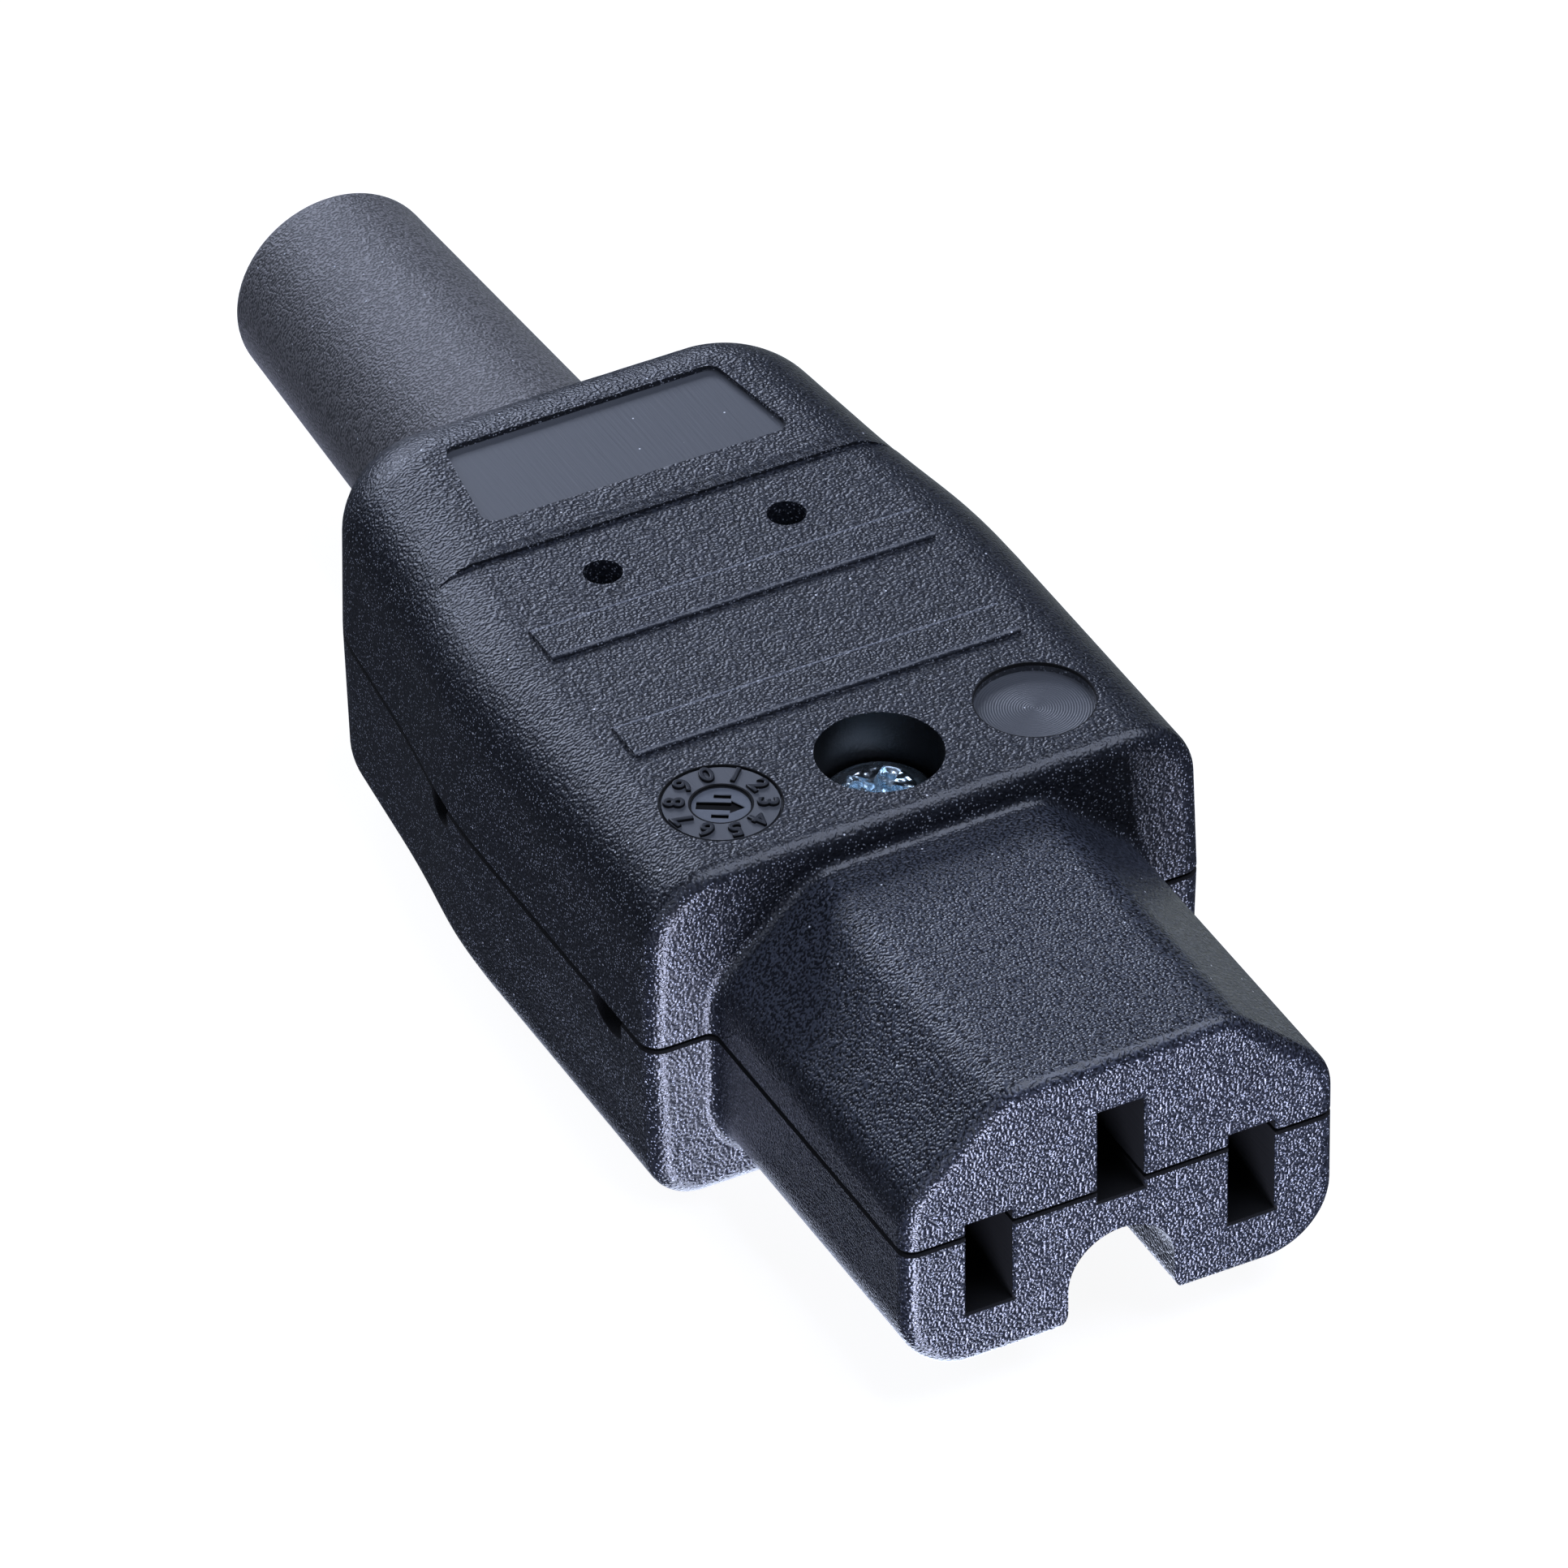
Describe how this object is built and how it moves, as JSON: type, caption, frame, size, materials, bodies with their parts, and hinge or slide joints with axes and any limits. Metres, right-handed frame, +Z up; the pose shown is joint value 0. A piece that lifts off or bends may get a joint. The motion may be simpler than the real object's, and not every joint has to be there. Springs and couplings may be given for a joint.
{
  "type": "iec power connector",
  "caption": "Rewireable female appliance connector: keyed bevelled nose, moulded clamshell housing, brass screw-terminal sockets, cord clamp and rubber bend-relief sleeve.",
  "frame": {"origin": "centre of the mating face, on the parting plane of the shells", "axes": "+X to the right seen from the mating face, +Y back towards the cord, +Z up on the earth slot's side"},
  "size_m": [0.03, 0.0835, 0.0194],
  "materials": {
    "housing plastic": "spark-textured moulded black",
    "sleeve rubber": "fine matte moulded black",
    "zinc steel": "blue-bright zinc plating",
    "contact brass": "stamped and folded, bright",
    "clamp plastic": "plain moulded black"
  },
  "bodies": {
    "root": {"upper_shell": "housing plastic", "lower_shell": "housing plastic", "cable_sleeve": "sleeve rubber", "housing_screw": "zinc steel", "clamp_screw_left": "zinc steel", "clamp_screw_right": "zinc steel", "terminal_screw_live": "zinc steel", "terminal_screw_neutral": "zinc steel", "terminal_screw_earth": "zinc steel", "terminal_plate_live": "zinc steel", "terminal_plate_neutral": "zinc steel", "terminal_plate_earth": "zinc steel", "contact_live": "contact brass", "contact_neutral": "contact brass", "contact_earth": "contact brass", "cord_clamp_bar": "clamp plastic"}
  },
  "joints": []
}
